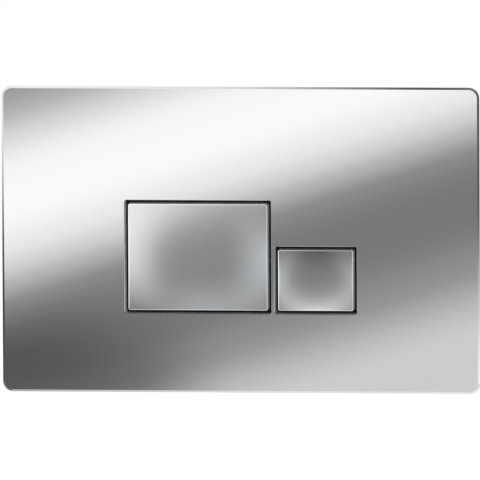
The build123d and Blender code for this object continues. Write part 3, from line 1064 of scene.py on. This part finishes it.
@dataclass
class ThumbBolt:
    """Long fixing bolt: fluted thumb head with a coin slot, smooth neck and thread.

    The flutes are sunk in steps: a share of their depth, and how far it reaches along their pitch.
    """

    head: float = 10.0 * MM
    head_height: float = 8.0 * MM
    head_eases: Pair = (0.8 * MM, 0.6 * MM)
    flutes: int = 12
    flute_sides: int = 6
    flute_depth: float = 0.55 * MM
    flute_steps: tuple[Pair, ...] = ((1.0, 1 / 12), (0.6, 1 / 3.6))
    slot: Pair = (1.6 * MM, 2.0 * MM)
    neck: float = 2.5 * MM
    neck_length: float = 4.5 * MM
    neck_bite: float = 0.5 * MM
    neck_taper: float = 0.3 * MM
    thread: float = 3.0 * MM
    thread_gaps: Pair = (0.2 * MM, 0.6 * MM)
    pitch: float = 1.25 * MM
    depth: float = 0.4 * MM
    chamfer: float = 0.8 * MM
    sides: int = 28
    crease: float = 35.0

    def build(self) -> list[Piece]:
        """Shapes one bolt and copies it to both sides.

        Returns:
            The bolts.
        """
        low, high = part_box("fixing_bolt_left")
        bolt = self.thumb_head(low.y)
        core = self.thread - self.depth
        shoulder = low.y + self.head_height
        begin = shoulder + self.neck_length
        outline = [
            (self.neck, shoulder - self.neck_bite),
            (self.neck, begin),
            (core, begin + self.neck_taper),
            (core, high.y - self.chamfer),
            (core - self.chamfer, high.y),
        ]
        shank = Bench.lathe("shank", self.sides, outline)
        start, end = begin + self.thread_gaps[0], high.y - self.thread_gaps[1]
        Bench.join(bolt, shank, Thread(self.thread, self.pitch, start, end, self.depth).build())
        Bench.smooth(bolt, self.crease)
        return Bench.set_copies(bolt, "fluted", {f"fixing_bolt_{side}": FIXED for side in SIDES})

    def thumb_head(self, front: float) -> Piece:
        """Shapes the head: flutes round it, eased edges and a slot across.

        Args:
            front: Y of the head's front.

        Returns:
            The head.
        """
        back = front + self.head_height
        front_ease, back_ease = self.head_eases
        outline = [
            (self.head - front_ease, front),
            (self.head, front + front_ease),
            (self.head, back - back_ease),
            (self.head - back_ease, back),
        ]
        head = Bench.lathe("bolt", self.flute_sides * self.flutes, outline)
        for share, part in self.flute_steps:
            self.sink_flutes(head, front, part, 1 - share * self.flute_depth / self.head)
        half = self.slot[0] / 2
        low = (-2 * self.head, front - MM, -half)
        Bench.cut(head, Bench.box("slot_tool", low, (2 * self.head, front + self.slot[1], half)))
        return head

    def sink_flutes(self, head: Piece, front: float, part: float, ratio: float) -> None:
        """Draws the places close to the flutes' middles in.

        Args:
            head: The head.
            front: Y of the head's front.
            part: How far from a flute's middle a place may lie, as a share of the pitch.
            ratio: New share of the distance to the axis.
        """
        step = math.tau / self.flutes

        def near(spot: Vector) -> bool:
            """Tells whether a place is close to a flute's middle."""
            off = (math.atan2(spot.z, spot.x) + step / 2) % step - step / 2
            return abs(off) < part * step and math.hypot(spot.x, spot.z) > self.head / 2

        Bench.pick(head, near)
        bpy.ops.transform.resize(value=(ratio, 1.0, ratio), center_override=(0, front, 0))
        Bench.done()


@dataclass
class PlateWasher:
    """Square washer under a thumb bolt, with a bore and eased edges."""

    bore: float = 3.2 * MM
    ease: float = 0.2 * MM
    sides: int = 40
    crease: float = 30.0

    def build(self) -> list[Piece]:
        """Shapes one washer and copies it to both sides.

        Returns:
            The washers.
        """
        low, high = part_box("fixing_washer_left")
        middle = (low + high) / 2
        axis = Vector((middle.x, 0, middle.z))
        washer = Bench.box("washer", low - axis, high - axis)
        bore = [(self.bore, low.y - MM), (self.bore, high.y + MM)]
        Bench.cut(washer, Bench.lathe("bore_tool", self.sides, bore))
        Bench.soften(washer, self.ease)
        Bench.smooth(washer, self.crease)
        return Bench.set_copies(washer, "square", {f"fixing_washer_{side}": FIXED for side in SIDES})


@dataclass
class HousingScrew:
    """Small hexagon headed screw, four of them through the housing's lugs."""

    corner: float = 2.8 * MM
    head_height: float = 2.0 * MM
    chamfer: Pair = (0.45 * MM, 0.25 * MM)
    skin: float = 0.01 * MM
    past: float = 0.1 * MM
    thread: float = 1.5 * MM
    pitch: float = 0.8 * MM
    depth: float = 0.25 * MM
    tip: Pair = (0.3 * MM, 1.2 * MM)
    thread_gap: float = 0.8 * MM
    bite: float = 0.2 * MM
    sides: tuple[int, int] = (40, 24)
    steps: int = 16
    crease: float = 30.0

    def build(self) -> list[Piece]:
        """Shapes one screw and sets four of them as one group.

        Returns:
            The group, as a list of one piece.
        """
        low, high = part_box("housing_screws")
        pattern = self.screw(low.y, high.y - self.head_height, high.y)
        flat = self.corner * math.cos(HALF_FLAT)
        screws = []
        for x in (low.x + self.corner, high.x - self.corner):
            for z in (low.z + flat, high.z - flat):
                screws.append(Bench.copy(pattern, f"screw_{len(screws)}", (x, 0.0, z)))
        bpy.data.objects.remove(pattern)
        group = Bench.join(*screws)
        group.name = "housing_screw_set"
        group.data.name = group.name
        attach(group, FIXED)
        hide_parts("housing_screws")
        return [group]

    def screw(self, tip: float, head: float, back: float) -> Piece:
        """Shapes one screw about the Y axis.

        Args:
            tip: Y of its tip.
            head: Y under its head.
            back: Y of the head's end.

        Returns:
            The screw.
        """
        piece = Bench.lathe("screw", 6, [(self.corner, head), (self.corner, back)], HALF_FLAT)
        reach = self.corner + self.skin
        inset, rise = self.chamfer
        ring = [(reach, head - self.past), (reach, back - rise), (reach - inset, back)]
        Bench.cut(piece, Bench.lathe("corner_tool", self.sides[0], ring), keep_common=True)
        core = self.thread - self.depth
        outline = [(self.tip[0], tip), (core, tip + self.tip[1]), (core, head + self.bite)]
        shank = Bench.lathe("shank", self.sides[1], outline)
        thread = Thread(self.thread, self.pitch, tip + self.thread_gap, head, self.depth, self.steps)
        Bench.join(piece, shank, thread.build())
        Bench.smooth(piece, self.crease)
        return piece


@dataclass(frozen=True)
class Camera:
    """Long lens to the right of the plate and a little above it."""

    azimuth: float = math.radians(6.0)
    elevation: float = math.radians(5.5)
    distance: float = 10.0
    frame_width: float = 0.24996
    aim: Pair = (-0.25 * MM, 0.0)
    sensor: float = 36.0
    clip_end: float = 50.0

    @property
    def back(self) -> Vector:
        """Direction from the plate to the camera."""
        turn, level = self.azimuth, math.cos(self.elevation)
        return Vector((math.sin(turn) * level, -math.cos(turn) * level, math.sin(self.elevation)))

    def build(self) -> None:
        """Places the camera, turned so that the plate's sides and ends lean alike."""
        data = bpy.data.cameras.new("camera")
        data.sensor_width = self.sensor
        data.lens = self.sensor * self.distance / self.frame_width
        data.clip_end = self.clip_end
        camera = bpy.data.objects.new("camera", data)
        bpy.context.scene.collection.objects.link(camera)
        camera.location = Vector((self.aim[0], CAD_BOX[0].y, self.aim[1])) + self.back * self.distance
        lean = 0.5 * math.sin(self.azimuth) * math.sin(self.elevation)
        view = (-self.back).to_track_quat("-Z", "Y")
        camera.rotation_mode = "QUATERNION"
        camera.rotation_quaternion = view @ Quaternion((0.0, 0.0, 1.0), -lean)
        bpy.context.scene.camera = camera

    def mirrored(self, normal: Point, reach: float) -> Vector:
        """Shift between a face and what the camera sees mirrored in it on a card.

        Args:
            normal: Direction that the face looks in.
            reach: Distance from the face to the card.

        Returns:
            The shift for a face at the plate's middle.
        """
        ray = (-self.back).reflect(Vector(normal).normalized())
        return ray * (reach / max(abs(part) for part in ray))


def light_card(name: str, middle: Point, size: Pair, turn: Point = (0, 0, 0)) -> tuple[Piece, Nodes]:
    """Adds a light card that only reflections see.

    Args:
        name: Name of the card.
        middle: Middle of the card.
        size: Width and height before it is turned.
        turn: Angles about X, Y and Z.

    Returns:
        The card and the nodes of its material.
    """
    card = Bench.plane(name, middle, size, turn)
    for ray in ("camera", "diffuse", "shadow", "transmission", "volume_scatter"):
        setattr(card, f"visible_{ray}", False)
    material, nodes = new_material(f"{name}_glow")
    wear(card, material)
    return card, nodes


def shine(nodes: Nodes, tone: Socket) -> None:
    """Ends a card's material in a light that chrome mirrors at this tone."""
    nodes.end(nodes.add("Emission", tone, 1.0 / CHROME))


class Light(Enum):
    """Soft lights before a button, by the part of its bowl that they light."""

    LEFT = "left"
    RIGHT = "right"
    LOW = "low"
    HIGH_LEFT = "high_left"
    MIDDLE = "middle"
    HIGH = "high"


@dataclass(frozen=True)
class Glow:
    """Clear card before a button, whose lights fall on that button alone.

    Each light has its strength, which shades below 0, and how far it leans from warm to cool. Where
    it starts and where it is full are places on the button, from -1 to 1.
    """

    button: Button
    reach: float
    lights: dict[Light, Pair]
    aside: Pair
    cast: Point = (-0.7, 0.0, 0.5)
    widths: Pair = (1.1, 0.0)
    edge: Pair = (1.5, 1.0)
    left: Pair = (-0.3, -0.95)
    right: Pair = (0.3, 0.95)
    low: Pair = (-0.15, -0.9)
    high: Pair = (0.0, 0.9)
    lean: Pair = (1.0, -1.0)

    def build(self, camera: Camera, cap: Piece) -> None:
        """Adds the card.

        Args:
            camera: The camera.
            cap: The button's cap.
        """
        low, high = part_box(self.button.node("cap"))
        centre, half = (low + high) / 2, (high - low) / 2
        shift = camera.mirrored((0, -1, 0), self.reach)
        middle = (centre.x + shift.x, low.y - self.reach, centre.z + shift.z)
        size = (2 * self.edge[0] * half.x, 2 * self.edge[0] * half.z)
        card, nodes = light_card(f"{self.button.value}_glow_card", middle, size, ACROSS_Y)
        x, _, z = nodes.place()
        u = nodes.math("DIVIDE", nodes.math("SUBTRACT", x, middle[0]), half.x)
        v = nodes.math("DIVIDE", nodes.math("SUBTRACT", z, middle[2]), half.z)
        light = nodes.add("Emission", self.colour(nodes, u, v))
        clear = nodes.add("BsdfTransparent")
        nodes.end(nodes.add("AddShader", light.outputs[0], clear.outputs[0]))
        lit = bpy.data.collections.new(f"{self.button.value}_lit")
        lit.objects.link(cap)
        card.light_linking.receiver_collection = lit

    def colour(self, nodes: Nodes, u: Socket, v: Socket) -> Socket:
        """Adds the lights up.

        Args:
            nodes: Nodes of the card.
            u: Place across the mirrored button.
            v: Place up the mirrored button.

        Returns:
            Colour of the card.
        """
        off = (nodes.math("SUBTRACT", spot, aside) for spot, aside in zip((u, v), self.aside))
        by_width, by_height = (nodes.ease(nodes.math("ABSOLUTE", way), *self.widths) for way in off)
        upper = nodes.ease(v, *self.high)
        masks = {
            Light.LEFT: (nodes.ease(u, *self.left), by_height),
            Light.RIGHT: (nodes.ease(u, *self.right), by_height),
            Light.LOW: (nodes.ease(v, *self.low), by_width),
            Light.HIGH_LEFT: (upper, nodes.ease(u, *self.lean)),
            Light.MIDDLE: (by_height, by_width),
            Light.HIGH: (upper, by_width),
        }
        far = nodes.math("MAXIMUM", nodes.math("ABSOLUTE", u), nodes.math("ABSOLUTE", v))
        near = nodes.ease(far, *self.edge)
        tone: object = 0.0
        cast: object = 0.0
        for light, (share, cool) in self.lights.items():
            mask = nodes.product(near, *masks[light])
            tone = nodes.math("MULTIPLY_ADD", mask, share, tone)
            cast = nodes.math("MULTIPLY_ADD", mask, cool, cast)
        parts = (nodes.product(tone, nodes.math("MULTIPLY_ADD", cast, part, 1.0)) for part in self.cast)
        return nodes.add("CombineColor", *parts).outputs[0]


FULL_GLOW = Glow(
    Button.FULL,
    reach=45.0 * MM,
    lights={
        Light.LEFT: (0.74, -0.02),
        Light.RIGHT: (0.53, 0.13),
        Light.LOW: (0.38, 0.12),
        Light.HIGH_LEFT: (0.24, 0.08),
        Light.MIDDLE: (0.06, 0.0),
    },
    aside=(0.1, -0.08),
)
HALF_GLOW = Glow(
    Button.HALF,
    reach=42.0 * MM,
    lights={
        Light.LEFT: (0.75, 0.15),
        Light.RIGHT: (0.49, -0.05),
        Light.LOW: (1.03, -0.03),
        Light.HIGH: (-0.17, 0.0),
    },
    aside=(0.02, 0.03),
)


@dataclass(frozen=True)
class Shade:
    """Soft shade on the front card, from where it starts to where it is full each way."""

    across: Pair
    up: Pair
    share: float

    def mask(self, nodes: Nodes, across: Socket, up: Socket) -> Socket:
        """How full the shade is at a place."""
        return nodes.product(nodes.ease(across, *self.across), nodes.ease(up, *self.up))


@dataclass(frozen=True)
class FrontCard:
    """Card close before the plate: slanting white and dark bands, as the plate mirrors them.

    Two shades darken it, on the left and low down. The low one spares the far left a share of its
    darkness, and the card's right end has one tone.
    """

    gap: float = 0.05
    reach: Pair = (0.25, 0.125)
    fade: Pair = (0.88, 1.0)
    slant: float = -0.33
    span: float = 0.24
    left: Shade = Shade((-0.05, -0.125), (0.012, -0.025), 0.35)
    low: Shade = Shade((0.0, -0.062), (-0.025, -0.075), 0.47)
    spared: Pair = (-0.075, -0.125)
    spared_share: float = 0.4
    right: Pair = (0.127, 0.145)
    right_tone: float = 0.65
    bands: tuple[Pair, ...] = (
        (0.05, 0.60),
        (0.15, 0.57),
        (0.24, 0.345),
        (0.32, 0.235),
        (0.41, 0.185),
        (0.50, 0.225),
        (0.54, 0.32),
        (0.59, 0.56),
        (0.63, 0.74),
        (0.70, 0.915),
        (0.78, 0.94),
        (0.85, 0.835),
        (0.92, 0.55),
        (0.99, 0.34),
    )

    def build(self, camera: Camera) -> None:
        """Adds the card.

        Args:
            camera: The camera.
        """
        shift = camera.mirrored((0, -1, 0), self.gap)
        middle = (shift.x, CAD_BOX[0].y - self.gap, shift.z)
        size = (2 * self.reach[0], 2 * self.reach[1])
        _, nodes = light_card("front_card", middle, size, ACROSS_Y)
        x, _, z = nodes.place()
        across, up = nodes.math("SUBTRACT", x, shift.x), nodes.math("SUBTRACT", z, shift.z)
        level = nodes.math("MULTIPLY_ADD", across, self.slant, up)
        band = nodes.ramp(nodes.math("MULTIPLY_ADD", level, 1 / self.span, 0.5), self.bands)
        left = self.left.mask(nodes, across, level)
        spared = nodes.dim(nodes.ease(across, *self.spared), self.spared_share)
        low = nodes.product(self.low.mask(nodes, across, up), spared)
        shaded = nodes.product(band, nodes.dim(left, self.left.share), nodes.dim(low, self.low.share))
        tone = nodes.blend(nodes.ease(across, *self.right), shaded, self.right_tone)
        ends = (nodes.math("DIVIDE", spot, reach) for spot, reach in zip((across, up), self.reach))
        far = nodes.math("MAXIMUM", *(nodes.math("ABSOLUTE", end) for end in ends))
        shine(nodes, nodes.blend(nodes.ease(far, *self.fade), tone, CHROME))


@dataclass(frozen=True)
class SideCard:
    """Card beside the plate, seen by an upright bevel and, further forward, by the caps' edges.

    Its stops are heights along the plate's edge and the tones there. Its bright front part has
    the Y where it starts and the Y where it is full.
    """

    name: str
    x: float
    stops: tuple[Pair, ...]
    front: Pair
    bright: float
    height: float = 0.2
    size: Pair = (3.0, 3.0)
    span: float = 0.24

    def build(self, camera: Camera) -> None:
        """Adds the card.

        Args:
            camera: The camera.
        """
        shift = camera.mirrored((math.copysign(1, self.x), -1, 0), abs(self.x) - CAD_BOX[1].x)
        _, nodes = light_card(self.name, (self.x, 0.0, self.height), self.size, (0, math.pi / 2, 0))
        _, y, z = nodes.place()
        spot = nodes.math("MULTIPLY_ADD", nodes.math("SUBTRACT", z, shift.z), 1 / self.span, 0.5)
        tone = nodes.ramp(spot, [(level / self.span + 0.5, tone) for level, tone in self.stops])
        shine(nodes, nodes.blend(nodes.ease(y, *self.front), tone, self.bright))


@dataclass(frozen=True)
class TopCard:
    """Card above the plate, seen by the top bevel."""

    height: float = 1.5
    size: Pair = (3.0, 3.0)
    span: float = 0.3
    stops: tuple[Pair, ...] = ((0.15, 0.82), (0.5, 0.68), (0.8, 0.15))

    def build(self, camera: Camera) -> None:
        """Adds the card.

        Args:
            camera: The camera.
        """
        shift = camera.mirrored((0, -1, 1), self.height - CAD_BOX[1].z)
        _, nodes = light_card("top_card", (0.0, 0.0, self.height), self.size)
        along = nodes.math("SUBTRACT", nodes.place()[0], shift.x)
        shine(nodes, nodes.ramp(nodes.math("MULTIPLY_ADD", along, 1 / self.span, 0.5), self.stops))


@dataclass(frozen=True)
class DarkStrip:
    """Narrow dark card just above the plate, clear to all but the windows' lower edges, far below it."""

    middle: Pair = (-13.0 * MM, -20.5 * MM)
    lift: float = 10.0 * MM
    size: Pair = (140.0 * MM, 9.0 * MM)
    tone: float = 0.16
    far: float = 0.1

    def build(self) -> None:
        """Adds the card."""
        _, nodes = light_card("dark_strip", (*self.middle, CAD_BOX[1].z + self.lift), self.size)
        way = nodes.add("LightPath").outputs["Ray Length"]
        light = nodes.add("Emission", (self.tone, self.tone, self.tone, 1.0))
        nodes.end(nodes.mixed(nodes.math("GREATER_THAN", way, self.far), nodes.add("BsdfTransparent"), light))


CARDS = (
    FrontCard(),
    SideCard("left_card", -1.5, ((0.0, 0.11), (0.06, 0.72)), (0.0, -0.1), 1.15),
    SideCard("right_card", 1.5, ((-0.07, 0.8), (0.0, 0.21), (0.07, 0.1)), (-0.9, -1.1), 0.95),
    TopCard(),
)


@dataclass(frozen=True)
class Lamp:
    """Soft square lamp aimed at the plate, hidden from reflections; its power is in watts."""

    name: str
    place: Point
    size: float
    power: float

    def build(self) -> None:
        """Hangs the lamp."""
        data = bpy.data.lights.new(self.name, "AREA")
        data.size = self.size
        data.energy = self.power
        lamp = bpy.data.objects.new(self.name, data)
        bpy.context.scene.collection.objects.link(lamp)
        lamp.location = self.place
        lamp.rotation_mode = "QUATERNION"
        lamp.rotation_quaternion = (-Vector(self.place)).to_track_quat("-Z", "Y")
        lamp.visible_glossy = False
        lamp.visible_camera = False


LAMPS = (
    Lamp("key_lamp", (0.55, -2.85, -0.04), 0.6, 58.0),
    Lamp("fill_lamp", (-1.9, -1.8, 0.0), 1.6, 10.0),
    Lamp("back_lamp", (0.8, 2.2, 1.8), 1.6, 30.0),
)


@dataclass(frozen=True)
class Floor:
    """Pale floor, white to the camera and open from below.

    Metal sees it as a glow, a painted reflection: one tone before the plate, and from the plate
    backwards brighter from left to right and dim past the plate's left end.
    """

    level: float = -0.35
    size: Pair = (30.0, 30.0)
    colour: float = 0.8
    tone: float = 0.75
    under: Pair = (-0.02, 0.0)
    along: Pair = (-0.2, 0.03)
    along_tones: Pair = (0.45, 0.82)
    left_end: Pair = (-0.16, -0.26)
    left_tone: float = 0.16

    def build(self) -> None:
        """Lays the floor."""
        floor = Bench.plane("floor", (0, 0, self.level), self.size)
        material, nodes = new_material("pale_floor")
        path = nodes.add("LightPath").outputs
        x, y, _ = nodes.place()
        # Painted reflection: a glow that only metal sees, brighter to the right and dim past the plate's left
        # end.
        along = nodes.blend(nodes.ease(x, *self.along), *self.along_tones)
        under = nodes.blend(nodes.ease(x, *self.left_end), along, self.left_tone)
        tone = nodes.blend(nodes.ease(y, *self.under), self.tone, under)
        metal = nodes.product(path["Is Glossy Ray"], tone)
        light = nodes.add("Emission", None, nodes.math("MAXIMUM", path["Is Camera Ray"], metal))
        pale = nodes.add("BsdfDiffuse", (self.colour, self.colour, self.colour, 1.0))
        seen = nodes.math("MAXIMUM", path["Is Camera Ray"], path["Is Glossy Ray"])
        below = nodes.add("NewGeometry").outputs["Backfacing"]
        nodes.end(nodes.mixed(below, nodes.mixed(seen, pale, light), nodes.add("BsdfTransparent")))
        wear(floor, material)


@dataclass(frozen=True)
class Room:
    """White for the camera and for what metal and glass show, soft grey light for the rest."""

    glow: float = 0.32

    def build(self) -> None:
        """Sets the world up."""
        world = bpy.data.worlds.new("room")
        bpy.context.scene.world = world
        world.use_nodes = True
        nodes = Nodes(world.node_tree)
        path = nodes.add("LightPath").outputs
        seen = nodes.math("MAXIMUM", path["Is Camera Ray"], path["Is Glossy Ray"])
        seen = nodes.math("MAXIMUM", seen, path["Is Transmission Ray"])
        background = nodes.add("Background", (1.0, 1.0, 1.0, 1.0), nodes.blend(seen, self.glow, 1.0))
        nodes.add("OutputWorld", background.outputs[0])


def main() -> None:
    """Builds the room, the finishes and the pieces in order."""
    logging.basicConfig(level=logging.INFO, format="%(name)s: %(message)s")
    bpy.context.scene.view_settings.view_transform = "Standard"
    camera = Camera()
    camera.build()
    Room().build()
    Floor().build()
    for card in CARDS:
        card.build(camera)
    for part in (DarkStrip(), *LAMPS):
        part.build()
    wardrobe = Wardrobe()
    wardrobe.dress_frame()
    for glow, depth in ((FULL_GLOW, 1.0 * MM), (HALF_GLOW, 0.6 * MM)):
        cap = ButtonCap(glow.button, depth).build()
        glow.build(camera, cap)
        LOG.info("%s: %d faces", cap.name, len(cap.data.polygons))
    groups = (
        (ReturnSpring(), Slot.STEEL),
        (PushRod(), Slot.ROD),
        (LockNut(), Slot.DARK),
        (ThumbBolt(), Slot.BOLT),
        (PlateWasher(), Slot.STEEL),
        (HousingScrew(), Slot.STEEL),
    )
    for group, slot in groups:
        for piece in group.build():
            wardrobe.dress(piece, slot)
            LOG.info("%s: %d faces", piece.name, len(piece.data.polygons))


if __name__ == "__main__":
    main()
